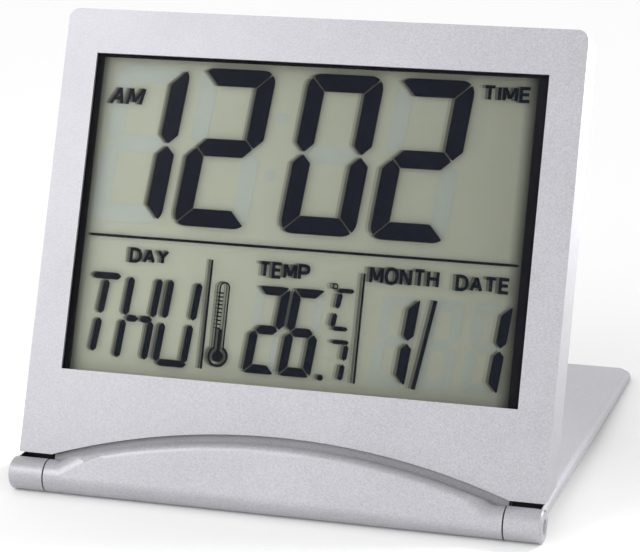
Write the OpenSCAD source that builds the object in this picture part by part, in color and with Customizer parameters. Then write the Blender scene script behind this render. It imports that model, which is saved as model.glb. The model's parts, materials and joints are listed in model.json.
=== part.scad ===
// Folding travel alarm clock with a large digital display.
//
// The clock case leans back and its flip cover lies behind it as a stand.
// The cover turns about a hinge along the bottom edge of the face, down, forward
// and up over the display, until its bumpers meet the face.
//
// Row frame: origin on the table under the middle of the outline, +X along the
// hinge to the right, +Y to the rear, +Z up.
// Case frame: origin on the hinge axis, +Y through the case from front to back,
// +Z up along the face. Cover frame: origin on the hinge axis, +Y along the
// cover to its free edge, +Z out of its outer side.

/* [Case] */
// Width of the clock case
case_w = 108; // [104:1:114]
// Top edge of the case, measured up the face from the hinge axis
case_top = 95.6; // [94:0.2:99]
// Lower edge of the face, measured up the face from the hinge axis
face_bottom = 4.2; // [4:0.1:4.6]
// Thickness of the case, face to back
case_t = 10.8; // [10.8:0.1:12]
// Wall thickness of the two case halves
wall = 1.5; // [1.3:0.1:1.6]
// Radius of the two upper corners of the case
corner_r = 2.2; // [1.5:0.1:3]

/* [Display] */
// Width of the display window
window_w = 94; // [90:1:94]
// Height of the display window
window_h = 64.9; // [62:0.1:65]
// Lower edge of the window above the hinge axis
window_bottom = 21.6; // [21.4:0.1:22]

/* [Hinge and stand] */
// Radius of the hinge barrel and knuckles
hinge_r = 3.25; // [3.1:0.05:3.4]
// Length of each of the cover's two knuckles
knuckle_len = 7.3; // [6:0.1:9]
// Backward lean of the face from the cover's normal in the open stand
lean = 21; // [18:0.5:24]
// Radius of the steel hinge pins
pin_r = 1; // [0.8:0.1:1.2]

/* [Chin] */
// Height of the arc over the hinge axis at the middle of the face
arc_peak = 11.9; // [11:0.1:12.5]
// Radius of the arc that ends the face above the chin
arc_r = 147.3; // [146:0.5:150]
// Width of the groove between the arc and the chin
groove_w = 1.6; // [1:0.1:2]
// Rounding along the upper edge of the chin
lip_r = 1.9; // [1:0.1:2]

/* [Flip cover] */
// Length of the cover from the hinge axis to its free edge
cover_len = 96; // [95:0.5:99]
// Thickness of the cover
cover_t = 1.8; // [1.6:0.1:2]
// How far the cover stands out past each side of the case
cover_overhang = 0.35; // [0:0.05:1]
// Radius of the cover's rear corners
cover_corner_r = 2.6; // [2:0.1:4]

/* [Keys] */
// Travel of the push keys
key_travel = 0.7; // [0.5:0.1:0.7]
// Height of the key row above the hinge axis
key_row = 75; // [74:0.5:76]

/* [Hidden] */

$fn = 64;
eps = 0.01;         // overlap that keeps cuts clean
fit = 0.15;         // side clearance of parts that are dropped in
slip = 0.05;        // radial running clearance of the hinge pins

// Depths through the case, from the hinge axis towards the back
face_y = 0.6;                       // plane of the face
back_y = face_y + case_t;           // plane of the back
plate_t = 1.6;                      // thickness of the back cover's plate
parting_y = back_y - plate_t;       // joint between bezel and back cover
lens_y = 1.2;                       // front of the clear lens
lens_t = 1;
mask_y = lens_y + lens_t;           // black surround behind the lens
film_t = 0.2;                       // mask, polariser and reflector sheets
glass_t = 1.1;
polariser_y = mask_y + film_t;
glass_y = polariser_y + film_t;
rear_glass_y = glass_y + glass_t;
reflector_y = rear_glass_y + glass_t;
board_y = 6.2;                      // front of the circuit board
board_t = 1;
board_back = board_y + board_t;

// Case outline
edge_r = 1.2;                       // rounding round the back of the case
bevel_gap = face_bottom * cos(lean) - face_y * sin(lean);  // case bottom to hinge axis
skin = face_y + wall;               // inner side of the face

// Chin, groove and hinge barrel
arc_z = arc_peak - arc_r;           // height of the arc's centre
groove_y = face_y + 1.4;            // floor of the groove
knuckle_gap = 0.3;
cover_w = case_w + 2 * cover_overhang;
knuckle_x = cover_w / 2 - knuckle_len;   // inner end of each knuckle
barrel_x = knuckle_x - knuckle_gap;      // end of the case's barrel
shoulder_x = 43.4;                  // where each shoulder of the chin runs out into the barrel
shoulder_drop = 32;                 // slope of the shoulders
neck_y = 3.2;                       // rear of the neck that joins barrel and case

// Display stack
rebate = 1.5;                       // lens border hidden behind the bezel
window_top = window_bottom + window_h;
mask_left = 1.1;                    // printed border inside the window's left edge
mask_right = 2.3;                   // printed border inside its right edge
mask_top = 0.5;
glass_w = 98;
glass_bottom = 19.6;
rear_glass_top = window_top + 0.4;
glass_top = rear_glass_top + 2.3;   // contact ledge of the front glass

// Screws
case_screw_places = [[-50, 91.9], [50, 91.9], [-46, 14.2], [46, 14.2]];
board_screw_places = [[-30, 91.9], [0, 91.9], [30, 91.9]];
screw_r = 1;
screw_head_r = 2.1;
board_screw_r = 0.8;

// Circuit board
board_w = 95;
board_bottom = 57;
board_top = 93.6;
part_row = 61.5;                    // height of the row of electronic parts

// Keys: place along the row and half the length of the cap's straight part
key_r = 4;
key_proud = 0.8;
flange_gap = 0.2;                   // play between a key's flange and the back cover
flange_t = 0.7;
flange_y = parting_y - flange_gap - flange_t;
plunger_t = 0.7;
mode_x = -38;
set_x = -24;
up_x = -10;
down_x = 4;
snooze_x = 28;
snooze_half = 7;

// Coin cell, its bay and its twist-off door
bay_x = 24;
bay_z = 40.2;
bay_r = 15.6;
bay_floor = 5.7;
cell_r = 10;
cell_t = 3.2;
cell_y = 6.55;
door_r = 13;
neck_r = 12.1;
tab_r = 13.9;
tab_y = 7.5;
tab_t = 0.8;
lock_turn = 45;                     // turn from locked to the release notches
bay_clear = 0.3;                    // clearance round the turning door
contact_x = 5;                      // offset of each contact from the cell's middle
contact_w = 3;

// Buzzer
buzzer_x = -27;
buzzer_z = 36;
buzzer_r = 11;
buzzer_y = 8.35;

// Cover and stand
cover_in = hinge_r - cover_t;       // inner side of the cover above the hinge axis
cover_edge_r = 1.5;                 // rounding round the cover's outer side
cut_gap = 0.6;                      // gap between the cover's cut-out and the chin
web_len = 5;                        // fillet from knuckle to cover
slot_start = 0.6;                   // clearance slot across the cover behind each knuckle
slot_end = 4.6;
slot_depth = 1.3;
slot_margin = 0.9;                  // wall that closes the slot's outer end
bumper_r = 2.8;
bumper_x = 44;
bumper_y = 91;
bumper_proud = 0.5;

// Tilt at which the knuckles and the bumpers both stand on the table
foot_z = cover_in - bumper_proud;
foot_y = bumper_y + bumper_r;
stand_tilt = acos(-hinge_r / norm([foot_y, foot_z])) - atan2(foot_y, foot_z);
case_lean = lean + stand_tilt;
rear_reach = (cover_len - cover_edge_r) * cos(stand_tilt)
    + (hinge_r - cover_edge_r) * sin(stand_tilt) + cover_edge_r;
axis_y = (hinge_r - rear_reach) / 2;

// Height of the case's sloping bottom at a depth, moved inwards by an inset
function bottom_z(y, inset = 0) = (bevel_gap + inset + y * sin(lean)) / cos(lean);

module case_frame() {
    translate([0, axis_y, hinge_r]) rotate([-case_lean, 0, 0]) children();
}

module cover_frame() {
    translate([0, axis_y, hinge_r]) rotate([-stand_tilt, 0, 0]) children();
}

// Extrudes a depth-height outline to both sides of the middle
module along_x(width) {
    rotate([90, 0, 90]) linear_extrude(width, center = true) children();
}

// Extrudes a width-height outline from depth y0 to depth y1
module along_y(y0, y1) {
    translate([0, y1, 0]) rotate([90, 0, 0]) linear_extrude(y1 - y0) children();
}

// A round bar through the case at a place on the face, from depth y0 to y1
module bar(place, r, y0, y1) {
    translate([place[0], y0, place[1]]) rotate([-90, 0, 0]) cylinder(r = r, h = y1 - y0);
}

// A bar with a slotted outline: two round ends joined by a straight part
module long_bar(place, half, r, y0, y1) {
    for (side = half > 0 ? [-1, 1] : [0])
        bar([place[0] + side * half, place[1]], r, y0, y1);
    if (half > 0)
        translate([place[0] - half, y0, place[1] - r]) cube([2 * half, y1 - y0, 2 * r]);
}

// A box on the face between two heights, from depth y0 to y1, centred on x
module slab(width, z0, z1, y0, y1, x = 0) {
    translate([x - width / 2, y0, z0]) cube([width, y1 - y0, z1 - z0]);
}

// Rectangle with two round upper corners
module round_top(width, z0, z1, r) {
    translate([-width / 2, z0]) square([width, z1 - z0 - r]);
    translate([r - width / 2, z0]) square([width - 2 * r, z1 - z0]);
    for (side = [-1, 1]) translate([side * (width / 2 - r), z1 - r]) circle(r);
}

// Depth-height outline of the case between two depths
module case_section(y0, y1, inset = 0) {
    polygon([[y0, bottom_z(y0, inset)], [y0, case_top - inset], [y1, case_top - inset],
        [y1, bottom_z(y1, inset)]]);
}

module case_block(y0, y1, inset = 0) {
    intersection() {
        along_x(case_w - 2 * inset) case_section(y0, y1, inset);
        along_y(y0, y1) round_top(case_w - 2 * inset, 0, case_top - inset, corner_r - inset / 2);
    }
}

// Everything inside the arc, from depth y0 to y1
module arc_disc(y0, y1) {
    translate([0, y0, arc_z]) rotate([-90, 0, 0]) cylinder(r = arc_r, h = y1 - y0, $fn = 360);
}

// Solid turned about the arc's centre, its front edge rounded into a lip
module chin_lip() {
    r = arc_r - groove_w;
    translate([0, 0, arc_z]) rotate([-90, 0, 0]) rotate_extrude($fn = 360) {
        translate([0, lip_r - hinge_r]) square([r, 2 * hinge_r]);
        translate([0, -hinge_r]) square([r - lip_r, hinge_r]);
        translate([r - lip_r, lip_r - hinge_r]) circle(lip_r);
    }
}

// Everything below the right shoulder, which is as round as the barrel
module below_shoulder() {
    translate([shoulder_x, 0, 0]) rotate([0, shoulder_drop, 0]) {
        translate([-2 * case_w, -hinge_r, -case_w]) cube([3 * case_w, 3 * hinge_r, case_w]);
        rotate([0, 90, 0]) cylinder(r = hinge_r, h = 4 * case_w, center = true);
    }
}

module bezel_shell() {
    difference() {
        case_block(face_y, parting_y);
        case_block(skin, parting_y + 1, wall);
        intersection() {
            slab(2 * barrel_x, 0, arc_peak + 1, face_y - 1, skin);
            arc_disc(face_y - 1, skin);
        }
    }
}

// Hinge barrel, the chin that stands on it and the floor of the groove behind the chin
module chin() {
    rotate([0, 90, 0]) cylinder(r = hinge_r, h = 2 * barrel_x, center = true);
    slab(2 * barrel_x, 0, arc_peak + 1, groove_y, neck_y);
    intersection() {
        slab(2 * barrel_x, 0, arc_peak, -hinge_r, neck_y);
        chin_lip();
        below_shoulder();
        mirror([1, 0, 0]) below_shoulder();
    }
}

module front_bezel() {
    color("silver") case_frame() difference() {
        union() {
            bezel_shell();
            chin();
            for (place = case_screw_places) bar(place, 2, skin - eps, parting_y - 0.2);
            for (place = board_screw_places) bar(place, 1.7, skin - eps, board_y);
        }
        slab(window_w, window_bottom, window_top, 0, skin + 1);
        slab(window_w + 2 * rebate, window_bottom - rebate, window_top + rebate, lens_y, skin + 1);
        for (place = case_screw_places) bar(place, screw_r, skin + 1, parting_y);
        for (place = board_screw_places) bar(place, board_screw_r, skin + 0.4, board_y + 1);
        for (side = [-1, 1])
            translate([side * (barrel_x - 3.5), 0, 0]) rotate([0, 90, 0])
                cylinder(r = pin_r + slip, h = 7.2, center = true);
    }
}

// Back plate whose rear edges are rounded at the sides and the top
module back_plate() {
    r = edge_r;
    flat_y = back_y - r;
    intersection() {
        union() {
            case_block(parting_y, flat_y);
            along_y(parting_y, back_y) round_top(case_w - 2 * r, 0, case_top - r, corner_r - r);
            for (side = [-1, 1]) translate([side * (case_w / 2 - r), flat_y, 0])
                cylinder(r = r, h = case_top - corner_r);
            translate([0, flat_y, case_top - r]) rotate([0, 90, 0])
                cylinder(r = r, h = case_w - 2 * corner_r, center = true);
            for (side = [-1, 1])
                translate([side * (case_w / 2 - corner_r), flat_y, case_top - corner_r])
                    rotate([90, 0, 0]) round_rim(corner_r, r);
        }
        along_x(case_w) case_section(parting_y, back_y);
    }
}

// Rim of a disc whose edge is rounded with a full half circle
module round_rim(r, edge) {
    rotate_extrude() {
        translate([r - edge, 0]) circle(edge);
        translate([0, -edge]) square([r - edge, 2 * edge]);
    }
}

// A ring sector about the bay's axis, for door tabs and release notches
module sector(r, y0, y1, start, sweep) {
    intersection() {
        bar([bay_x, bay_z], r, y0, y1);
        translate([bay_x, y0, bay_z]) rotate([-90, 0, 0]) linear_extrude(y1 - y0)
            polygon([[0, 0], for (turn = [start, start + sweep / 2, start + sweep])
                2 * r * [cos(turn), sin(turn)]]);
    }
}

module bay_hollow() {
    bay = [bay_x, bay_z];
    bar(bay, cell_r + 0.35, bay_floor + 0.5, back_y + 1);
    bar(bay, tab_r + bay_clear, tab_y - bay_clear, tab_y + tab_t + bay_clear);
    bar(bay, neck_r + bay_clear, tab_y, back_y + 1);
    bar(bay, door_r + bay_clear, back_y - 1.4, back_y + 1);
    for (third = [0:2])
        sector(tab_r + bay_clear, tab_y, back_y - 1.4, third * 120 + lock_turn - 15, 30);
    for (side = [-1, 1])
        slab(contact_w + 0.4, bay_z + cell_r - 2, bay_z + bay_r + 1, cell_y - 0.35, tab_y,
            bay_x + side * contact_x);
}

module sound_holes() {
    bar([buzzer_x, buzzer_z], 0.8, 0, back_y + 1);
    for (turn = [0:60:300])
        bar([buzzer_x + 3.4 * cos(turn), buzzer_z + 3.4 * sin(turn)], 0.8, 0, back_y + 1);
    for (turn = [0:30:330])
        bar([buzzer_x + 6.8 * cos(turn), buzzer_z + 6.8 * sin(turn)], 0.8, 0, back_y + 1);
}

module back_cover() {
    color("silver") case_frame() difference() {
        union() {
            back_plate();
            slab(88, case_top - wall - 1.2, case_top - wall - fit, parting_y - 1, parting_y + eps);
            for (side = [-1, 1])
                slab(1, 20, 86, parting_y - 1, parting_y + eps, side * (case_w / 2 - wall - fit - 0.5));
            bar([bay_x, bay_z], bay_r, bay_floor, parting_y + eps);
            difference() {
                bar([buzzer_x, buzzer_z], buzzer_r, buzzer_y + 0.25, parting_y + eps);
                bar([buzzer_x, buzzer_z], buzzer_r - 1, 0, parting_y);
            }
        }
        bay_hollow();
        sound_holes();
        for (place = case_screw_places) {
            bar(place, screw_r + 0.2, 0, back_y + 1);
            bar(place, screw_head_r + 0.2, back_y - 1, back_y + 1);
        }
        for (x = [mode_x, set_x, up_x, down_x]) bar([x, key_row], key_r + 0.25, 0, back_y + 1);
        long_bar([snooze_x, key_row], snooze_half, key_r + 0.25, 0, back_y + 1);
    }
}

module display_lens() {
    color([0.8, 0.85, 0.85, 0.3]) case_frame()
        slab(window_w + 2 * (rebate - fit), window_bottom - rebate + fit, window_top + rebate - fit,
            lens_y, mask_y);
}

module display_mask() {
    color("black") case_frame() difference() {
        slab(window_w + 2 * (rebate - fit), window_bottom - rebate + fit, window_top + rebate - fit,
            mask_y, polariser_y);
        slab(window_w - mask_left - mask_right, window_bottom - 0.2, window_top - mask_top,
            0, polariser_y + 1, (mask_left - mask_right) / 2);
    }
}

module front_polariser() {
    color("darkseagreen") case_frame()
        slab(glass_w - 1, glass_bottom + 0.4, rear_glass_top, polariser_y, glass_y);
}

module front_glass() {
    color("lightcyan") case_frame()
        slab(glass_w, glass_bottom, glass_top, glass_y, rear_glass_y);
}

module rear_glass() {
    color("lightcyan") case_frame()
        slab(glass_w, glass_bottom, rear_glass_top, rear_glass_y, reflector_y);
}

module reflector() {
    color("darkseagreen") case_frame()
        slab(glass_w - 1, glass_bottom + 0.4, rear_glass_top - 0.4, reflector_y, reflector_y + film_t);
}

// Frame that holds the glass from behind and spaces it from the board
module display_bracket() {
    color("white") case_frame() difference() {
        slab(glass_w + 2.6, glass_bottom - 0.9, glass_top + 0.4, polariser_y, board_y);
        slab(glass_w + 0.3, glass_bottom - fit, glass_top + fit, 0, reflector_y + film_t);
        slab(glass_w - 6, glass_bottom + 4.4, rear_glass_top - 3, 0, board_y + 1);
        slab(glass_w - 8, rear_glass_top + 0.2, glass_top + eps, 0, board_y + 1);
    }
}

module elastomer_strip() {
    color("hotpink") case_frame()
        slab(glass_w - 9, rear_glass_top + 0.4, glass_top - 0.2, rear_glass_y, board_y);
}

module circuit_board() {
    color("green") case_frame() difference() {
        slab(board_w, board_bottom, board_top, board_y, board_back);
        for (place = board_screw_places) bar(place, board_screw_r + 0.2, 0, board_back + 1);
    }
}

module chip_blob() {
    dome_r = 8;
    color("#202020") case_frame() intersection() {
        translate([-14, board_back + 1.4 - dome_r, part_row]) sphere(dome_r);
        slab(20, part_row - 10, part_row + 10, board_back, board_back + 2, -14);
    }
}

module quartz_crystal() {
    color("lightgray") case_frame() translate([2, board_back + 1, part_row]) rotate([0, 90, 0]) {
        cylinder(r = 1, h = 6);
        for (side = [-1, 1]) translate([side * 0.4, 0, -2]) cylinder(r = 0.15, h = 2 + eps);
    }
}

// Temperature sensor below the board's edge, its leads lying on the board
module thermistor() {
    lead_r = 0.15;
    color("darkgreen") case_frame() translate([-40, board_back + lead_r, board_bottom - 3]) {
        sphere(1.1);
        for (side = [-1, 1]) translate([side * 0.5, 0, 0]) cylinder(r = lead_r, h = 6);
    }
}

module small_components() {
    color("tan") case_frame() for (i = [0:7])
        slab(1.2, part_row - 1, part_row + 1, board_back, board_back + 0.6, 14 + 3 * i);
}

module keypad_sheet() {
    color("dimgray") case_frame() difference() {
        slab(92, key_row - 8, key_row + 8, board_back, board_back + 0.5);
        for (x = [mode_x, set_x, up_x, down_x]) bar([x, key_row], 3.2, 0, back_y);
        long_bar([snooze_x, key_row], snooze_half, 3.2, 0, back_y);
    }
}

// Key cap with the flange that keeps it in the back cover
module key_cap(x, half = 0) {
    top = back_y + key_proud;
    color("gray") case_frame() {
        long_bar([x, key_row], half, key_r + 0.9, flange_y, flange_y + flange_t);
        long_bar([x, key_row], half, key_r, flange_y, top - 0.3);
        long_bar([x, key_row], half, key_r - 0.3, flange_y, top);
    }
}

// Rubber plunger under a key cap
module key_plunger(x, half = 0) {
    color("dimgray") case_frame() long_bar([x, key_row], half, 2.6, flange_y - plunger_t, flange_y);
}

module mode_key() { key_cap(mode_x); }
module set_key() { key_cap(set_x); }
module up_key() { key_cap(up_x); }
module down_key() { key_cap(down_x); }
module snooze_key() { key_cap(snooze_x, snooze_half); }
module mode_plunger() { key_plunger(mode_x); }
module set_plunger() { key_plunger(set_x); }
module up_plunger() { key_plunger(up_x); }
module down_plunger() { key_plunger(down_x); }
module snooze_plunger() { key_plunger(snooze_x, snooze_half); }

module buzzer_plate() {
    color("gold") case_frame() bar([buzzer_x, buzzer_z], buzzer_r - 0.2, buzzer_y, buzzer_y + 0.25);
}

module buzzer_ceramic() {
    color("whitesmoke") case_frame() bar([buzzer_x, buzzer_z], 7.5, buzzer_y - 0.25, buzzer_y);
}

// Two insulated wires that run from the buzzer down onto the board
module buzzer_wires() {
    wire_r = 0.3;
    start_z = buzzer_z + 5;
    end_z = board_bottom + 2;
    start_y = buzzer_y - 0.25 - wire_r;
    slope = atan2(start_y - board_back - wire_r, end_z - start_z);
    color("firebrick") case_frame() for (side = [-1, 1])
        translate([buzzer_x + 2 * side, start_y, start_z]) rotate([slope, 0, 0])
            cylinder(r = wire_r, h = end_z - start_z);
}

module coin_cell() {
    color("lightgray") case_frame() {
        bar([bay_x, bay_z], cell_r - 1.1, cell_y, cell_y + 0.6);
        bar([bay_x, bay_z], cell_r, cell_y + 0.5, cell_y + cell_t);
    }
}

// Contact strip that runs from the bay to the board and steps up onto it
module contact_strip(x, z0, y0) {
    t = 0.35;
    slab(contact_w, z0, board_bottom - 0.2, y0, y0 + t, x);
    slab(contact_w, board_bottom - 0.6, board_bottom - 0.2, y0, board_back + t, x);
    slab(contact_w, board_bottom - 0.6, board_bottom + 2, board_back, board_back + t, x);
}

module positive_contact() {
    rim = sqrt(pow(cell_r, 2) - pow(contact_x - contact_w / 2, 2));
    color("lightgray") case_frame() contact_strip(bay_x + contact_x, bay_z + rim + 0.05, cell_y + 0.2);
}

module negative_contact() {
    color("lightgray") case_frame() {
        contact_strip(bay_x - contact_x, bay_z, cell_y - 0.35);
        bar([bay_x, bay_z], 7, cell_y - 0.35, cell_y);
    }
}

module battery_door() {
    bay = [bay_x, bay_z];
    color("silver") case_frame() difference() {
        union() {
            bar(bay, door_r, back_y - 1.3, back_y);
            bar(bay, neck_r, tab_y, back_y - 1);
            for (third = [0:2]) sector(tab_r, tab_y, tab_y + tab_t, third * 120 - 12, 24);
        }
        bar(bay, neck_r - 1.2, 0, back_y - 1.3);
        slab(14, bay_z - 0.9, bay_z + 0.9, back_y - 0.7, back_y + 1, bay_x);
    }
}

module cross_slot(place, y0, length) {
    slab(length, place[1] - 0.3, place[1] + 0.3, y0, y0 + 2, place[0]);
    slab(0.6, place[1] - length / 2, place[1] + length / 2, y0, y0 + 2, place[0]);
}

module case_screws() {
    head_y = back_y - 1;
    color("lightgray") case_frame() for (place = case_screw_places) difference() {
        union() {
            bar(place, screw_head_r, head_y, head_y + 0.9);
            bar(place, screw_r - 0.05, skin + 1.5, head_y + eps);
        }
        cross_slot(place, head_y + 0.4, 2.6);
    }
}

module board_screws() {
    color("lightgray") case_frame() for (place = board_screw_places) difference() {
        union() {
            bar(place, 1.6, board_back, board_back + 0.9);
            bar(place, board_screw_r - 0.05, skin + 0.9, board_back + eps);
        }
        cross_slot(place, board_back + 0.5, 2);
    }
}

// Cover plate with its outer edges rounded at the sides and the free end
module cover_plate() {
    r = cover_edge_r;
    c = cover_corner_r;
    axis_z = hinge_r - r;
    intersection() {
        union() {
            translate([0, 0, cover_in]) linear_extrude(cover_t - r) round_top(cover_w, 0, cover_len, c);
            translate([0, 0, cover_in]) linear_extrude(cover_t)
                round_top(cover_w - 2 * r, 0, cover_len - r, c - r);
            for (side = [-1, 1]) translate([side * (cover_w / 2 - r), 0, axis_z])
                rotate([-90, 0, 0]) cylinder(r = r, h = cover_len - c);
            translate([0, cover_len - r, axis_z]) rotate([0, 90, 0])
                cylinder(r = r, h = cover_w - 2 * c, center = true);
            for (side = [-1, 1]) translate([side * (cover_w / 2 - c), cover_len - c, axis_z])
                round_rim(c, r);
        }
        translate([-cover_w, 0, cover_in]) cube([2 * cover_w, 2 * cover_len, cover_t]);
    }
}

// Fillet under the cover, tangent to the knuckle
module web_section() {
    reach = norm([web_len, cover_in]);
    turn = atan2(cover_in, web_len) - acos(hinge_r / reach);
    polygon([[0, 0], hinge_r * [cos(turn), sin(turn)], [web_len, cover_in + eps], [0, cover_in + eps]]);
}

module knuckle() {
    bevel = 0.4;
    rotate([0, 90, 0]) {
        cylinder(r = hinge_r, h = knuckle_len - bevel);
        translate([0, 0, knuckle_len - bevel])
            cylinder(r1 = hinge_r, r2 = hinge_r - bevel, h = bevel);
    }
    translate([knuckle_len / 2, 0, 0]) along_x(knuckle_len - 0.8) web_section();
}

module flip_cover() {
    color("silver") cover_frame() difference() {
        union() {
            cover_plate();
            for (side = [0, 1]) mirror([side, 0, 0]) translate([knuckle_x, 0, 0]) knuckle();
        }
        intersection() {
            translate([0, arc_z, -hinge_r]) cylinder(r = arc_r + cut_gap, h = 3 * hinge_r, $fn = 360);
            translate([-knuckle_x, -hinge_r - 1, -hinge_r]) cube([2 * knuckle_x, 30, 3 * hinge_r]);
        }
        for (side = [0, 1]) mirror([side, 0, 0])
            translate([knuckle_x - 1, slot_start, hinge_r - slot_depth])
                cube([knuckle_len + 1 - slot_margin, slot_end - slot_start, slot_depth + 1]);
        for (side = [-1, 1]) {
            rotate([0, side * 90, 0]) cylinder(r = pin_r, h = cover_w);
            translate([side * (cover_w / 2 - 1.3), 0, 0]) rotate([0, side * 90, 0])
                cylinder(r = 1.5, h = 5);
            translate([side * bumper_x, bumper_y, cover_in - 1]) cylinder(r = bumper_r + 0.05, h = 1.4);
        }
    }
}

module cover_bumpers() {
    color("dimgray") cover_frame() for (side = [-1, 1])
        translate([side * bumper_x, bumper_y, cover_in - bumper_proud])
            cylinder(r = bumper_r, h = bumper_proud + 0.4);
}

module hinge_pins() {
    color("lightgray") cover_frame() for (side = [0, 1]) mirror([side, 0, 0])
        translate([cover_w / 2 - 1.3, 0, 0]) rotate([0, 90, 0]) {
            cylinder(r = 1.45, h = 0.8);
            translate([0, 0, 1.3 - knuckle_len - knuckle_gap - 6])
                cylinder(r = pin_r, h = 6 + knuckle_len + knuckle_gap - 1.3 + eps);
        }
}

front_bezel();
back_cover();
display_lens();
display_mask();
front_polariser();
front_glass();
rear_glass();
reflector();
display_bracket();
elastomer_strip();
circuit_board();
chip_blob();
quartz_crystal();
thermistor();
small_components();
keypad_sheet();
mode_key();
set_key();
up_key();
down_key();
snooze_key();
mode_plunger();
set_plunger();
up_plunger();
down_plunger();
snooze_plunger();
buzzer_plate();
buzzer_ceramic();
buzzer_wires();
coin_cell();
positive_contact();
negative_contact();
battery_door();
case_screws();
board_screws();
flip_cover();
cover_bumpers();
hinge_pins();
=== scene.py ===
"""Looks of the folding travel alarm clock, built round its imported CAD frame.

Lengths are in metres, and in millimetres where a name ends in _mm or a comment says so.
"""
import json
import math

import bmesh
import bpy
from mathutils import Matrix, Quaternion, Vector


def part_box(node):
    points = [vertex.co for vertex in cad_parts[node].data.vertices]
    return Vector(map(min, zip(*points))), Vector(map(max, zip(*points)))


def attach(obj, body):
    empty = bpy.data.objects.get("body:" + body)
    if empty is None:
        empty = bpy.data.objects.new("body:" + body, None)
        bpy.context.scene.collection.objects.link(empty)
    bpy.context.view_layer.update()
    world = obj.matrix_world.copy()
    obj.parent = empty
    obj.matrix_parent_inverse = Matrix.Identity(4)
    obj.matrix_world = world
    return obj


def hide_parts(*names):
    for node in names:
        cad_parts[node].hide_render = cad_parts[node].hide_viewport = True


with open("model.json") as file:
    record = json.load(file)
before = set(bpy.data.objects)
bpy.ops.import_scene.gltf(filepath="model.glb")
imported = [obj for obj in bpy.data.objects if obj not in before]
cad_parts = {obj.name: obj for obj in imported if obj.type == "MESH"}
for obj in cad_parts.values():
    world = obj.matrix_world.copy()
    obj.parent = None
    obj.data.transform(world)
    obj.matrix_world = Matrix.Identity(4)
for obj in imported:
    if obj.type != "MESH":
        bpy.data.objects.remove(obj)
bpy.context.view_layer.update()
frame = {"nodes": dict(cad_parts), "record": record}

MM = 0.001
JOINTS = {joint["name"]: joint for joint in frame["record"]["behaviour"]["joints"]}
SLOTS = {part["node"]: part["material_slot"] for part in frame["record"]["subparts"]}
ACROSS = Vector((1, 0, 0))
HINGE = Vector(JOINTS["cover_hinge"]["pos_m"])


# Frames ---------------------------------------------------------------------------------------


def axes_to_matrix(x, y, z, origin):
    """A matrix that takes points in a turned frame to the row frame."""
    matrix = Matrix((x, y, z)).transposed().to_4x4()
    matrix.translation = origin
    return matrix


DEPTH = Vector(JOINTS["battery_door_turn"]["axis"])
CASE = axes_to_matrix(ACROSS, DEPTH, ACROSS.cross(DEPTH), HINGE)


LENS_THICKNESS_MM = 1.0
LENS_BORDER_MM = 1.35       # lens hidden behind the bezel on each side


def lens_corner():
    """Upper left corner of the lens in the case frame: across, through and up the face."""
    low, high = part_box("display_lens")
    middle = CASE.inverted() @ ((low + high) / 2)
    width = high.x - low.x
    depth_span = LENS_THICKNESS_MM * MM
    height = ((high.z - low.z) - depth_span * abs(DEPTH.z)) / DEPTH.y
    return Vector((middle.x - width / 2, 0, middle.z + height / 2))


# Window frame: x to the right and y down from the window's upper left corner, z into the case
# from the hinge axis. Its unit is the millimetre.
WINDOW = (
    CASE
    @ Matrix.Translation(lens_corner() + Vector((LENS_BORDER_MM, 0, -LENS_BORDER_MM)) * MM)
    @ Matrix(((1, 0, 0, 0), (0, 0, 1, 0), (0, -1, 0, 0), (0, 0, 0, 1)))
    @ Matrix.Scale(MM, 4)
)


# Node materials -------------------------------------------------------------------------------

MIX_COLORS = slice(6, 8)    # the mix node's colour sockets, which share their names with others
MIX_RESULT = 2


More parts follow.
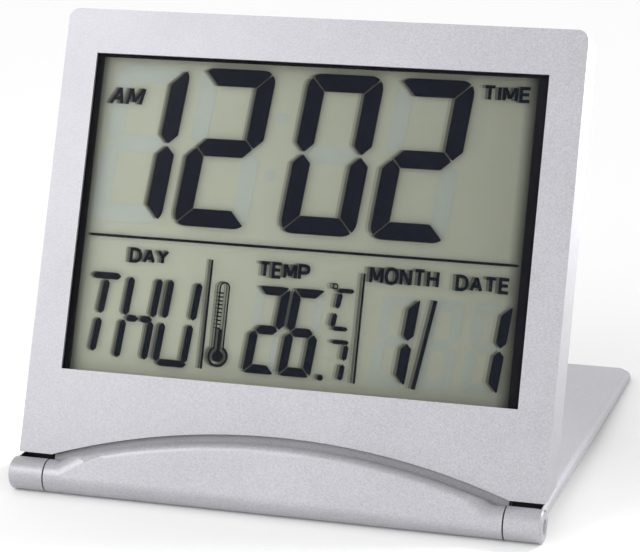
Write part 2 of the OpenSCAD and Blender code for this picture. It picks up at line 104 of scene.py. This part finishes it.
class Finish:
    """A node material with a Principled shader and short ways to add nodes to it."""

    def __init__(self, name, color, roughness, metallic=0.0, **sockets):
        self.material = bpy.data.materials.new(name)
        self.material.use_nodes = True
        self.material.diffuse_color = (*color, 1)
        self.nodes = self.material.node_tree.nodes
        self.links = self.material.node_tree.links
        self.shader = self.nodes["Principled BSDF"]
        self.place = self.nodes.new("ShaderNodeTexCoord").outputs["Object"]
        self.set("Base Color", (*color, 1))
        self.set("Roughness", roughness)
        self.set("Metallic", metallic)
        for socket, value in sockets.items():
            self.set(socket.replace("_", " "), value)

    def set(self, socket, value):
        self.shader.inputs[socket].default_value = value

    def feed(self, socket, output):
        self.links.new(output, self.shader.inputs[socket])

    def noise(self, size_mm, detail=2.0, roughness=0.5, stretch=(1, 1, 1)):
        node = self.nodes.new("ShaderNodeTexNoise")
        node.inputs["Scale"].default_value = 1 / (size_mm * MM)
        node.inputs["Detail"].default_value = detail
        node.inputs["Roughness"].default_value = roughness
        mapping = self.nodes.new("ShaderNodeMapping")
        mapping.inputs["Scale"].default_value = stretch
        self.links.new(self.place, mapping.inputs["Vector"])
        self.links.new(mapping.outputs["Vector"], node.inputs["Vector"])
        return node.outputs["Fac"]

    def across(self):
        """Distance to the right of the clock's middle in millimetres."""
        split = self.nodes.new("ShaderNodeSeparateXYZ")
        scale = self.nodes.new("ShaderNodeVectorMath")
        scale.operation = "SCALE"
        scale.inputs["Scale"].default_value = 1 / MM
        self.links.new(self.place, scale.inputs[0])
        self.links.new(scale.outputs["Vector"], split.inputs["Vector"])
        return split.outputs["X"]

    def cells(self, size_mm):
        """A random grey value in each of many small cells."""
        node = self.nodes.new("ShaderNodeTexVoronoi")
        node.inputs["Scale"].default_value = 1 / (size_mm * MM)
        self.links.new(self.place, node.inputs["Vector"])
        split = self.nodes.new("ShaderNodeSeparateColor")
        self.links.new(node.outputs["Color"], split.inputs["Color"])
        return split.outputs["Red"]

    def remap(self, output, low, high, to_low, to_high):
        node = self.nodes.new("ShaderNodeMapRange")
        node.inputs["From Min"].default_value = low
        node.inputs["From Max"].default_value = high
        node.inputs["To Min"].default_value = to_low
        node.inputs["To Max"].default_value = to_high
        self.links.new(output, node.inputs["Value"])
        return node.outputs["Result"]

    def blend(self, amount, first, second):
        """Colour between two colours or outputs by an amount."""
        node = self.nodes.new("ShaderNodeMix")
        node.data_type = "RGBA"
        self.links.new(amount, node.inputs["Factor"])
        for socket, value in zip(node.inputs[MIX_COLORS], (first, second)):
            if isinstance(value, tuple):
                socket.default_value = (*value, 1)
            else:
                self.links.new(value, socket)
        return node.outputs[MIX_RESULT]

    def bump(self, height, distance_mm, strength=1.0, over=None):
        node = self.nodes.new("ShaderNodeBump")
        node.inputs["Strength"].default_value = strength
        node.inputs["Distance"].default_value = distance_mm * MM
        self.links.new(height, node.inputs["Height"])
        if over is not None:
            self.links.new(over, node.inputs["Normal"])
        return node.outputs["Normal"]


def scaled(color, factor):
    return tuple(min(1.0, channel * factor) for channel in color)


def silver_paint(name, color):
    """Satin metallic paint: fine flakes of differing tilt over a faint orange peel."""
    finish = Finish(name, color, roughness=0.42, metallic=0.6, Coat_Weight=0.15, Coat_Roughness=0.35)
    flakes = finish.cells(0.19)
    cloud = finish.remap(finish.noise(14, detail=3), 0.3, 0.7, 0.0, 1.0)
    dull = finish.blend(cloud, scaled(color, 0.87), scaled(color, 0.92))
    lit = finish.blend(cloud, scaled(color, 1.13), scaled(color, 1.2))
    finish.feed("Base Color", finish.blend(flakes, dull, lit))
    finish.feed("Roughness", finish.remap(flakes, 0.0, 1.0, 0.36, 0.5))
    peel = finish.bump(finish.noise(1.2, detail=2), 0.02, 0.4)
    finish.feed("Normal", finish.bump(flakes, 0.012, 0.6, over=peel))
    return finish.material


def clear_sheet(name, color, alpha, roughness):
    """Clear plastic or glass seen through: a faint sheen with a trace of haze."""
    finish = Finish(name, color, roughness, Alpha=alpha)
    haze = finish.noise(9, detail=4)
    finish.feed("Base Color", finish.blend(haze, scaled(color, 0.94), color))
    finish.feed("Roughness", finish.remap(haze, 0.3, 0.7, roughness * 0.9, roughness * 1.1))
    return finish.material


def print_and_shade_film(name, color, roughness=0.5, variation=0.08, grain_mm=3.0, far_color=None):
    """Thin film behind glass, of slightly uneven density. far_color is its tone at the right, a
    painted shade; with it, painted shade of the window's sides also darkens its edges.
    """
    finish = Finish(name, color, roughness, Specular_IOR_Level=0.03)
    density = finish.noise(grain_mm, detail=3)
    tone = finish.blend(density, scaled(color, 1 - variation), scaled(color, 1 + variation))
    if far_color is not None:
        fade = finish.remap(finish.across(), FADE_LEFT_MM, FADE_RIGHT_MM, 0.0, 1.0)
        tone = finish.blend(fade, tone, far_color)
        for dark, clear in ((LEFT_DARK_MM, LEFT_CLEAR_MM), (RIGHT_DARK_MM, RIGHT_CLEAR_MM)):
            shade = finish.remap(finish.across(), dark, clear, 1.0, 0.0)
            tone = finish.blend(shade, tone, scaled(color, 0.1))
    finish.feed("Base Color", tone)
    finish.feed("Roughness", finish.remap(density, 0.3, 0.7, roughness * 0.9, roughness * 1.1))
    return finish.material


def moulded(name, color, roughness=0.5, grain_mm=0.35, depth_mm=0.01):
    """Moulded plastic or rubber with a fine spark-eroded grain."""
    finish = Finish(name, color, roughness)
    grain = finish.noise(grain_mm, detail=4)
    finish.feed("Base Color", finish.blend(grain, scaled(color, 0.9), scaled(color, 1.1)))
    finish.feed("Roughness", finish.remap(grain, 0.3, 0.7, roughness - 0.06, roughness + 0.06))
    finish.feed("Normal", finish.bump(grain, depth_mm))
    return finish.material


def plated_metal(name, color, roughness=0.28, stretch=(1, 1, 1)):
    """Plated or rolled metal with fine marks, drawn out where stretch says."""
    finish = Finish(name, color, roughness, metallic=1.0)
    marks = finish.noise(0.5, detail=5, stretch=stretch)
    finish.feed("Base Color", finish.blend(marks, scaled(color, 0.86), scaled(color, 1.08)))
    finish.feed("Roughness", finish.remap(marks, 0.3, 0.7, roughness - 0.08, roughness + 0.1))
    finish.feed("Normal", finish.bump(marks, 0.004))
    return finish.material


PAINT_COLOR = (0.42, 0.414, 0.444)
INK_COLOR = (0.003, 0.005, 0.012)
REFLECTOR_COLOR = (0.465, 0.49, 0.39)
# painted shade: the reflector's tone at the display's right
FAR_REFLECTOR_COLOR = (0.28, 0.295, 0.235)
GHOST_COLOR = (0.405, 0.45, 0.405)
# painted shade: the unlit marks' tone at the display's right
FAR_GHOST_COLOR = (0.237, 0.268, 0.23)

# Places across the reflector, from the clock's middle: a painted shade darkens it evenly from the
# first to the second, and the painted shade of the window's sides is full at each dark place and gone
# at the clear one.
FADE_LEFT_MM, FADE_RIGHT_MM = -45, 40
LEFT_DARK_MM, LEFT_CLEAR_MM = -47.5, -45.5
RIGHT_DARK_MM, RIGHT_CLEAR_MM = 44.1, 41.5

PAINT = silver_paint("silver_paint", PAINT_COLOR)
# silver paint darkened as a painted shade on the groove's floor
GROOVE_SHADE_PAINT = silver_paint("painted_groove_shade", scaled(PAINT_COLOR, 0.66))
# near-black plastic as a painted shade in the slots behind the knuckles
SLOT_SHADE = moulded("painted_slot_shade", (0.02, 0.02, 0.025), roughness=0.6)
LENS = clear_sheet("clear_lens", (0.06, 0.062, 0.06), alpha=0.03, roughness=0.12)
GLASS = clear_sheet("display_glass", (0.07, 0.072, 0.065), alpha=0.02, roughness=0.2)
MASK_INK = print_and_shade_film("mask_ink", (0.01, 0.01, 0.014), roughness=0.6, variation=0.3)
SEGMENT_INK = print_and_shade_film("segment_ink", INK_COLOR, roughness=0.45, variation=0.25, grain_mm=5)
NEAR_SHADOW = print_and_shade_film("near_shadow", scaled(REFLECTOR_COLOR, 0.22), variation=0.1)
FAR_SHADOW = print_and_shade_film("far_shadow", scaled(REFLECTOR_COLOR, 0.5), variation=0.1)
# the unlit marks darken to a painted shade at the right and at the window's sides
GHOST_FILM = print_and_shade_film(
    "ghost_film", GHOST_COLOR, variation=0.03, grain_mm=6, far_color=FAR_GHOST_COLOR
)
RUBBER = moulded("dark_rubber", (0.018, 0.018, 0.02), roughness=0.75)
KEY_PLASTIC = moulded("key_plastic", (0.16, 0.16, 0.18), roughness=0.42)
STEEL = plated_metal("steel", (0.55, 0.55, 0.56))
FRAME_FINISHES = {          # one for each material slot of the record
    "silver_paint": PAINT,
    "lens": LENS,
    "black_ink": MASK_INK,
    "display_glass": GLASS,
    # the reflector darkens to a painted shade at the right and at the window's sides
    "reflector": print_and_shade_film(
        "reflector", REFLECTOR_COLOR, roughness=0.45, variation=0.03, grain_mm=2,
        far_color=FAR_REFLECTOR_COLOR,
    ),
    "white_plastic": moulded("white_plastic", (0.8, 0.8, 0.77)),
    "elastomer": moulded("elastomer", (0.5, 0.25, 0.25), roughness=0.6),
    "board": moulded("solder_mask", (0.02, 0.12, 0.04), roughness=0.3, grain_mm=1.5),
    "resin": moulded("resin", (0.01, 0.01, 0.01), roughness=0.2),
    "component": moulded("component", (0.35, 0.24, 0.15), roughness=0.4),
    "key": KEY_PLASTIC,
    "dark_rubber": RUBBER,
    "brass": plated_metal("brass", (0.72, 0.5, 0.2)),
    "ceramic": moulded("ceramic", (0.75, 0.74, 0.7), roughness=0.3),
    "wire": moulded("wire", (0.5, 0.03, 0.03), roughness=0.4),
    "steel": STEEL,
}


# Pieces ---------------------------------------------------------------------------------------


def add_piece(name, bm, material, body, stands_for=()):
    """Turns a bmesh in the row frame into a piece that rides on a CAD body.

    It is shown instead of the CAD nodes it stands for.
    """
    mesh = bpy.data.meshes.new(name)
    bmesh.ops.recalc_face_normals(bm, faces=bm.faces)
    bm.to_mesh(mesh)
    bm.free()
    mesh.materials.append(material)
    piece = bpy.data.objects.new(name, mesh)
    bpy.context.scene.collection.objects.link(piece)
    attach(piece, body)
    if stands_for:
        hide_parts(*stands_for)
    return piece


def finish_frame():
    """Gives every CAD node the finish of its record slot."""
    for name, node in frame["nodes"].items():
        node.data.materials.clear()
        node.data.materials.append(FRAME_FINISHES[SLOTS[name]])


SHARP = math.radians(32)    # edges sharper than this are rounded over
FLAT = math.radians(0.6)    # facets flatter than this are one face
WELD_MM = 0.002
GROOVE_DEPTH_MM = 2.0       # from the hinge axis to the groove's floor
SLOT_START_MM, SLOT_END_MM = 0.4, 4.8   # the slots' reach behind the hinge axis
SLOT_FLOOR_MM, SLOT_TOP_MM = 1.6, 2.95  # and the heights they span above it


def in_groove(face):
    """Whether a face of the bezel is the floor of the groove behind the chin, which is given a
    painted shade.
    """
    depth = (CASE.inverted() @ face.calc_center_median()).y / MM
    return abs(depth - GROOVE_DEPTH_MM) < 0.1 and face.normal.dot(DEPTH) < -0.9


def in_slot(face):
    """Whether a face of the cover lies in one of the slots behind its knuckles, which are given a
    painted shade.
    """
    across, back, up = (face.calc_center_median() - HINGE) / MM
    return SLOT_START_MM < back < SLOT_END_MM and SLOT_FLOOR_MM < up < SLOT_TOP_MM


def soften(node, edge_mm, material, body, recess=None, recess_shade=None):
    """A copy of a CAD node with its sharp edges rounded over, shown in its place.

    Faces for which recess holds get the recess material, which is a painted shade.
    """
    bm = bmesh.new()
    bm.from_mesh(frame["nodes"][node].data)
    bmesh.ops.remove_doubles(bm, verts=bm.verts, dist=WELD_MM * MM)
    bmesh.ops.dissolve_limit(bm, angle_limit=FLAT, verts=bm.verts, edges=bm.edges)
    edges = [e for e in bm.edges if len(e.link_faces) == 2 and e.calc_face_angle() > SHARP]
    bmesh.ops.bevel(
        bm, geom=edges, offset=edge_mm * MM, offset_type="OFFSET", segments=2,
        profile=0.5, affect="EDGES", clamp_overlap=True,
    )
    bm.normal_update()
    for face in bm.faces:
        face.smooth = True
        if recess is not None and recess(face):
            face.material_index = 1
    piece = add_piece(node + "_finished", bm, material, body, (node,))
    piece.data.set_sharp_from_angle(angle=SHARP)
    shading = piece.modifiers.new("even_shading", "WEIGHTED_NORMAL")
    shading.weight = 100        # large flat faces keep their own normal
    shading.keep_sharp = True
    if recess is not None:
        piece.data.materials.append(recess_shade)
    return piece


# Display marks --------------------------------------------------------------------------------
# Drawn flat in the window frame, in millimetres.

SLANT = math.tan(math.radians(5.5))     # lean of the digits
MITRE_LIMIT = 0.6           # blunts the corners of lines that turn sharply
# The segments lit in each digit: a at the top, clockwise to f, and g across the middle.
DIGIT_SEGMENTS = {"0": "abcdef", "1": "bc", "2": "abged", "6": "acdefg"}


def add_outline(flat, outline):
    flat.faces.new([flat.verts.new((x, y, 0)) for x, y in outline])


def ribbon(flat, points, width, closed=False):
    """A line of even width through points, with mitred corners."""
    count = len(points)
    sides = []
    for i, point in enumerate(points):
        here = Vector(point)
        before = Vector(points[i - 1]) if closed or i > 0 else None
        after = Vector(points[(i + 1) % count]) if closed or i < count - 1 else None
        along = [(b - a).normalized() for a, b in ((before, here), (here, after)) if a and b]
        normals = [Vector((-d.y, d.x)) for d in along]
        normal = sum(normals, Vector((0, 0))).normalized()
        reach = width / 2 / max(MITRE_LIMIT, normal.dot(normals[0]))
        sides.append((here + normal * reach, here - normal * reach))
    steps = range(count if closed else count - 1)
    for i in steps:
        (a, b), (c, d) = sides[i], sides[(i + 1) % count]
        add_outline(flat, (a, b, d, c))


def bar(flat, start, end, width):
    """A segment with pointed ends."""
    start, end = Vector(start), Vector(end)
    along = (end - start).normalized()
    side = Vector((-along.y, along.x)) * width / 2
    shoulder = along * width / 2
    add_outline(flat, (
        start, start + shoulder + side, end - shoulder + side,
        end, end - shoulder - side, start + shoulder - side,
    ))


def arc_points(centre, radius, start, end, steps=5):
    """Points on an arc, its angles in turns of a full circle."""
    angles = [2 * math.pi * (start + (end - start) * i / steps) for i in range(steps + 1)]
    return [(centre[0] + radius * math.cos(a), centre[1] + radius * math.sin(a)) for a in angles]


def flipped_across(outline, width):
    return [(width - x, y) for x, y in outline]


def flipped_down(outline, height):
    return [(x, height - y) for x, y in outline]


def digit_outlines(width, height, stroke, gap, corner):
    """Outlines of the seven segments of an upright digit, from its upper left corner."""
    half = height / 2
    notch = gap * math.sqrt(0.5)
    turn = gap / corner / (4 * math.pi)
    side = [
        *arc_points((corner, corner), corner, 0.5, 0.625 - turn),
        (stroke, stroke + notch),
        (stroke, half - stroke / 2 - notch),
        (stroke / 2, half - notch),
        (0, half - stroke / 2 - notch),
    ]
    cap = [
        *arc_points((corner, corner), corner, 0.625 + turn, 0.75),
        *arc_points((width - corner, corner), corner, 0.75, 0.875 - turn),
        (width - stroke - notch, stroke),
        (stroke + notch, stroke),
    ]
    waist = [
        (stroke / 2 + notch, half),
        (stroke + notch, half - stroke / 2),
        (width - stroke - notch, half - stroke / 2),
        (width - stroke / 2 - notch, half),
        (width - stroke - notch, half + stroke / 2),
        (stroke + notch, half + stroke / 2),
    ]
    low_side = flipped_down(side, height)
    return {
        "a": cap, "b": flipped_across(side, width), "c": flipped_across(low_side, width),
        "d": flipped_down(cap, height), "e": low_side, "f": side, "g": waist,
    }


def digit(lit, ghost, symbol, right, top, width, height, stroke, gap=0.28, corner=2.8):
    """A seven-segment digit; right is its right edge at its foot. Unlit segments are ghosts."""
    outlines = digit_outlines(width, height, stroke, gap, corner)
    for segment, outline in outlines.items():
        flat = lit if segment in DIGIT_SEGMENTS[symbol] else ghost
        add_outline(flat, [
            (right - width + x + (height - y) * SLANT, top + y) for x, y in outline
        ])


LETTERS = {
    "A": [[(0, 1), (0.5, 0)], [(0.5, 0), (1, 1)], [(0.2, 0.66), (0.8, 0.66)]],
    "D": [[(0, 0), (0.55, 0), (0.85, 0.12), (1, 0.36), (1, 0.64), (0.85, 0.88), (0.55, 1),
           (0, 1), (0, 0)]],
    "E": [[(1, 0), (0, 0), (0, 1), (1, 1)], [(0, 0.48), (0.9, 0.48)]],
    "H": [[(0, 0), (0, 1)], [(1, 0), (1, 1)], [(0, 0.48), (1, 0.48)]],
    "I": [[(0, 0), (0, 1)]],
    "M": [[(0, 1), (0, 0)], [(0.06, 0), (0.5, 0.85)], [(0.5, 0.85), (0.94, 0)], [(1, 0), (1, 1)]],
    "N": [[(0, 1), (0, 0)], [(0.06, 0), (0.94, 1)], [(1, 1), (1, 0)]],
    "O": [[(0.5, 0), (0.85, 0.1), (1, 0.36), (1, 0.64), (0.85, 0.9), (0.5, 1), (0.15, 0.9), (0, 0.64),
           (0, 0.36), (0.15, 0.1), (0.5, 0)]],
    "P": [[(0, 1), (0, 0), (0.65, 0), (0.93, 0.1), (1, 0.27), (0.93, 0.46), (0.65, 0.55), (0, 0.55)]],
    "T": [[(0, 0), (1, 0)], [(0.5, 0), (0.5, 1)]],
    "Y": [[(0, 0), (0.5, 0.48), (1, 0)], [(0.5, 0.48), (0.5, 1)]],
}
LETTER_WIDTHS = {"I": 0.0, "M": 0.86, "O": 0.84, "E": 0.62, "T": 0.72}
USUAL_WIDTH = 0.72
LETTER_GAP = 0.34


def word(flat, text, left, right, top, bottom, line, slant=0.0):
    """Block capitals drawn with even strokes to fill a box."""
    widths = [LETTER_WIDTHS.get(letter, USUAL_WIDTH) for letter in text]
    total = sum(widths) + LETTER_GAP * (len(text) - 1)
    top, bottom = top + line / 2, bottom - line / 2
    height = bottom - top
    stretch = (right - left - line) / total
    x = left + line / 2
    for letter, width in zip(text, widths):
        for stroke in LETTERS[letter]:
            points = [
                (x + u * width * stretch + (1 - v) * height * slant, top + v * height)
                for u, v in stroke
            ]
            closed = points[0] == points[-1]
            ribbon(flat, points[:-1] if closed else points, line, closed)
        x += (width + LETTER_GAP) * stretch


def circle_points(centre, radius, steps=24):
    return arc_points(centre, radius, 0, 1, steps)[:-1]


def draw_time(lit, ghost):
    """Hours and minutes, with the unlit colon between them."""
    for symbol, right in zip("1202", (17.67, 35.87, 58.27, 76.67)):
        digit(lit, ghost, symbol, right, top=2.0, width=15.5, height=32.3, stroke=3.6)
    for centre in ((41.2, 11.3), (39.9, 22.9)):
        add_outline(ghost, circle_points(centre, 1.3))


WORD_LINE = 0.66            # width of the words' strokes
WORD_BOXES = (              # left, right, top and bottom of each word
    ("TIME", 81.3, 90.9, 2.6, 5.8),
    ("DAY", 12.0, 20.4, 39.4, 42.5),
    ("TEMP", 39.5, 50.1, 40.2, 43.5),
    ("MONTH", 62.2, 76.2, 39.5, 43.1),
    ("DATE", 79.5, 90.3, 40.0, 43.2),
)


def draw_words(lit):
    word(lit, "AM", 3.9, 10.9, 6.7, 10.6, WORD_LINE, slant=0.22)
    for text, *box in WORD_BOXES:
        word(lit, text, *box, WORD_LINE)


def draw_dividers(lit):
    ribbon(lit, ((3.0, 37.3), (91.5, 37.5)), 0.5)
    ribbon(lit, ((29.6, 40.7), (29.6, 62.5)), 0.45)
    ribbon(lit, ((61.2, 41.2), (61.2, 62.8)), 0.45)
    ribbon(lit, ((75.9, 45.4), (73.1, 62.9)), 0.8)


def draw_weekday(lit):
    """The three letters of the weekday, made of slanted bars."""
    width = 1.35
    bars = (
        ((4.6, 45.5), (10.7, 45.5)), ((7.8, 46.2), (7.0, 53.2)), ((7.0, 54.0), (6.2, 60.9)),
        ((13.1, 45.3), (12.4, 53.2)), ((12.2, 54.0), (11.5, 61.8)), ((12.7, 53.7), (15.3, 53.7)),
        ((15.6, 53.7), (18.3, 53.7)), ((19.1, 45.3), (18.3, 53.2)), ((18.1, 54.0), (17.4, 61.8)),
        ((21.5, 45.3), (20.8, 53.2)), ((20.6, 54.0), (19.9, 61.8)), ((20.2, 62.0), (26.4, 62.0)),
        ((27.5, 45.5), (26.8, 53.2)), ((26.5, 54.0), (25.8, 61.8)),
    )
    for start, end in bars:
        bar(lit, start, end, width)


def draw_thermometer(lit):
    """Outline of tube and bulb, the column and its scale."""
    x, half = 32.8, 0.95
    bulb = (x, 59.8)
    neck = 0.08             # half the gap in the bulb's ring, in turns
    tube = [(x - half, 58.1), *arc_points((x, 46.0), half, 0.5, 1.0, 8), (x + half, 58.1)]
    ribbon(lit, tube, 0.32)
    ribbon(lit, arc_points(bulb, 1.9, -0.25 + neck, 0.75 - neck, 24), 0.5)
    add_outline(lit, circle_points(bulb, 1.15))
    ribbon(lit, ((x, 54.4), (x, 59.5)), 0.75)
    for step in range(10):
        y = 47.2 + 0.78 * step
        ribbon(lit, ((x - half, y), (x - 0.1, y)), 0.3)


def draw_temperature(lit, ghost):
    """Tens and units, tenths after the point, and the degree sign with its letter."""
    for symbol, right in zip("26", (44.9, 52.2)):
        digit(
            lit, ghost, symbol, right, top=45.1, width=6.7, height=17.4, stroke=1.75,
            gap=0.3, corner=1.1,
        )
    point, degree = (54.3, 62.2), (55.5, 44.1)
    add_outline(lit, circle_points(point, 0.62, 12))
    ribbon(lit, circle_points(degree, 0.5, 14), 0.28, closed=True)
    upright, level = 1.0, 0.85      # widths of the bars of the letter and the tenths
    bars = (
        ((56.1, 44.9), (59.5, 44.9)), ((56.8, 45.3), (56.3, 48.5)), ((56.1, 49.3), (55.7, 52.2)),
        ((55.8, 52.4), (58.9, 52.4)), ((55.9, 55.0), (59.4, 55.0)), ((59.0, 55.4), (58.7, 58.6)),
        ((58.6, 59.2), (58.3, 62.5)),
    )
    for start, end in bars:
        bar(lit, start, end, level if start[1] == end[1] else upright)


def draw_date(lit, ghost):
    """Month and day of the month, with the day's unlit first digit."""
    shape = {"top": 45.1, "width": 7.2, "height": 17.6, "stroke": 2.05, "gap": 0.35, "corner": 1.1}
    for right in (71.25, 89.6):
        digit(lit, ghost, "1", right, **shape)
    digit(ghost, ghost, "0", 80.4, **shape)


# The liquid crystal lies behind the window's edge, so its drawing is a little larger than the
# window and starts above and to the left of it.
DRAWING = Matrix.Translation((-1.33, -0.61, 0)) @ Matrix.Diagonal((1.0072, 1.0071, 1, 1))
CRYSTAL_MM = 3.8            # depth of the liquid crystal behind the hinge axis
REFLECTOR_MM = 4.8          # and of the reflector
GHOST_GAP_MM = 0.05         # how far the unlit marks lie before the reflector
FAR_SHADOW_GAP_MM = 0.11
NEAR_SHADOW_GAP_MM = 0.17
GLASS_GAP_MM = 0.02
FILM_MM = 0.02              # thickness of the drawn films
SHADOW_RISE_MM = 0.15       # the shadows lie this much above the marks


def film(name, flat, depth_mm, material, shift_mm=0.0, drift=0.0, rise_mm=0.0):
    """A thin solid film of a flat drawing, moved up and to the left.

    The shift to the left grows across the window by the drift per millimetre.
    """
    bm = flat.copy()
    stretched = Matrix.Diagonal((1 - drift, 1, 1, 1))
    placed = Matrix.Translation((-shift_mm, -rise_mm, depth_mm)) @ stretched
    bmesh.ops.transform(bm, matrix=placed @ DRAWING, verts=bm.verts)
    front = bm.faces[:]
    extruded = bmesh.ops.extrude_face_region(bm, geom=front, use_keep_orig=True)["geom"]
    backs = [item for item in extruded if isinstance(item, bmesh.types.BMVert)]
    bmesh.ops.translate(bm, vec=(0, 0, FILM_MM), verts=backs)
    bmesh.ops.transform(bm, matrix=WINDOW, verts=bm.verts)
    return add_piece(name, bm, material, "case")


def build_display():
    """The drawn marks, the unlit ones and the two shadows of the marks on the reflector."""
    lit, ghost = bmesh.new(), bmesh.new()
    draw_time(lit, ghost)
    draw_words(lit)
    draw_dividers(lit)
    draw_weekday(lit)
    draw_thermometer(lit)
    draw_temperature(lit, ghost)
    draw_date(lit, ghost)
    marks = film("display_marks", lit, CRYSTAL_MM, SEGMENT_INK)
    marks.visible_shadow = False    # the two films below are its shadows
    film("display_ghosts", ghost, REFLECTOR_MM - GHOST_GAP_MM, GHOST_FILM, shift_mm=0.4)
    film(
        "display_shadow_near", lit, REFLECTOR_MM - NEAR_SHADOW_GAP_MM, NEAR_SHADOW,
        shift_mm=0.82, rise_mm=SHADOW_RISE_MM,
    )
    film(
        "display_shadow_far", lit, REFLECTOR_MM - FAR_SHADOW_GAP_MM, FAR_SHADOW,
        shift_mm=1.2, drift=0.0037, rise_mm=SHADOW_RISE_MM,
    )
    lit.free()
    ghost.free()


def build_glass():
    """Both glass plates and the polariser, as one slab with ground edges."""
    bm = bmesh.new()
    left, right, top, bottom = -2.0, 96.0, -2.7, 66.9
    near, far = 2.4, REFLECTOR_MM - GLASS_GAP_MM
    bmesh.ops.create_cube(bm, size=1)
    middle = Vector((left + right, top + bottom, near + far)) / 2
    size = (right - left, bottom - top, far - near)
    placed = Matrix.Translation(middle) @ Matrix.Diagonal((*size, 1))
    bmesh.ops.transform(bm, matrix=placed, verts=bm.verts)
    bmesh.ops.bevel(bm, geom=bm.edges[:], offset=0.15, segments=1, affect="EDGES")
    bmesh.ops.transform(bm, matrix=WINDOW, verts=bm.verts)
    add_piece(
        "display_glass", bm, GLASS, "case",
        ("front_polariser", "front_glass", "rear_glass"),
    )


# Scene ----------------------------------------------------------------------------------------

CAMERA_AZIMUTH = 17.264
CAMERA_ELEVATION = 16.828
CAMERA_ROLL = -0.929
CAMERA_TARGET = Vector((10.85, -44.17, 52.33)) * MM
CAMERA_DISTANCE = 0.4473
CAMERA_LENS = 133.5
CAMERA_SHIFT = (-0.00497, -0.0281)
HORIZON_LIGHT = 1.45        # the studio's light from low down and from overhead
ZENITH_LIGHT = 0.72


def build_camera():
    azimuth, elevation = math.radians(CAMERA_AZIMUTH), math.radians(CAMERA_ELEVATION)
    back = Vector((
        math.sin(azimuth) * math.cos(elevation),
        -math.cos(azimuth) * math.cos(elevation),
        math.sin(elevation),
    ))
    data = bpy.data.cameras.new("camera")
    data.lens = CAMERA_LENS
    data.sensor_width = 36
    data.shift_x, data.shift_y = CAMERA_SHIFT
    data.clip_start, data.clip_end = 0.01, 10
    camera = bpy.data.objects.new("camera", data)
    camera.rotation_mode = "QUATERNION"
    camera.location = CAMERA_TARGET + back * CAMERA_DISTANCE
    roll = Quaternion((0, 0, 1), math.radians(CAMERA_ROLL))
    camera.rotation_quaternion = back.to_track_quat("Z", "Y") @ roll
    bpy.context.scene.collection.objects.link(camera)
    bpy.context.scene.camera = camera


def soft_light(name, place, aim, size, power, spread=180):
    """A square light that faces a point; spread is its cone's angle in degrees."""
    data = bpy.data.lights.new(name, "AREA")
    data.size = size
    data.energy = power
    data.spread = math.radians(spread)
    light = bpy.data.objects.new(name, data)
    light.location = place
    light.rotation_mode = "QUATERNION"
    light.rotation_quaternion = (Vector(place) - Vector(aim)).to_track_quat("Z", "Y")
    bpy.context.scene.collection.objects.link(light)


def build_world():
    """Even white light that is stronger from low down than from overhead."""
    world = bpy.data.worlds.new("studio")
    world.use_nodes = True
    nodes, links = world.node_tree.nodes, world.node_tree.links
    direction = nodes.new("ShaderNodeSeparateXYZ")
    links.new(nodes.new("ShaderNodeTexCoord").outputs["Generated"], direction.inputs["Vector"])
    height = nodes.new("ShaderNodeMapRange")
    height.inputs["To Min"].default_value = HORIZON_LIGHT
    height.inputs["To Max"].default_value = ZENITH_LIGHT
    links.new(direction.outputs["Z"], height.inputs["Value"])
    background = nodes["Background"]
    background.inputs["Color"].default_value = (1, 1, 1, 1)
    links.new(height.outputs["Result"], background.inputs["Strength"])
    bpy.context.scene.world = world


def build_lights():
    """A small light on the case's right side and a soft one from the front left."""
    soft_light(
        "right", place=(0.14, 0.06, 0.14), aim=(0.054, -0.004, 0.078),
        size=0.04, power=0.062, spread=41,
    )
    soft_light(
        "left", place=(-0.36, -0.42, 0.4), aim=(-0.03, -0.02, 0.06),
        size=0.3, power=0.9,
    )


def build_floor():
    bm = bmesh.new()
    bmesh.ops.create_grid(bm, x_segments=1, y_segments=1, size=3)
    mesh = bpy.data.meshes.new("floor")
    bm.to_mesh(mesh)
    bm.free()
    finish = Finish("floor", (0.97, 0.97, 0.97), roughness=0.9)
    tone = finish.noise(120)
    finish.feed("Base Color", finish.blend(tone, (0.965, 0.965, 0.965), (0.975, 0.975, 0.975)))
    mesh.materials.append(finish.material)
    floor = bpy.data.objects.new("floor", mesh)
    bpy.context.scene.collection.objects.link(floor)


def build_studio():
    build_world()
    build_lights()
    build_floor()
    bpy.context.scene.view_settings.view_transform = "Standard"


finish_frame()
# the groove's floor behind the chin gets a painted shade
soften("front_bezel", 0.15, PAINT, "case", recess=in_groove, recess_shade=GROOVE_SHADE_PAINT)
soften("back_cover", 0.15, PAINT, "case")
# the slots behind the knuckles get a painted shade
soften("flip_cover", 0.15, PAINT, "cover", recess=in_slot, recess_shade=SLOT_SHADE)
soften("battery_door", 0.12, PAINT, "door")
soften("hinge_pins", 0.1, STEEL, "cover")
soften("case_screws", 0.08, STEEL, "case")
soften("cover_bumpers", 0.1, RUBBER, "cover")
for key in ("mode", "set", "up", "down", "snooze"):
    soften(key + "_key", 0.2, KEY_PLASTIC, key + "_push")
build_display()
build_glass()
build_camera()
build_studio()
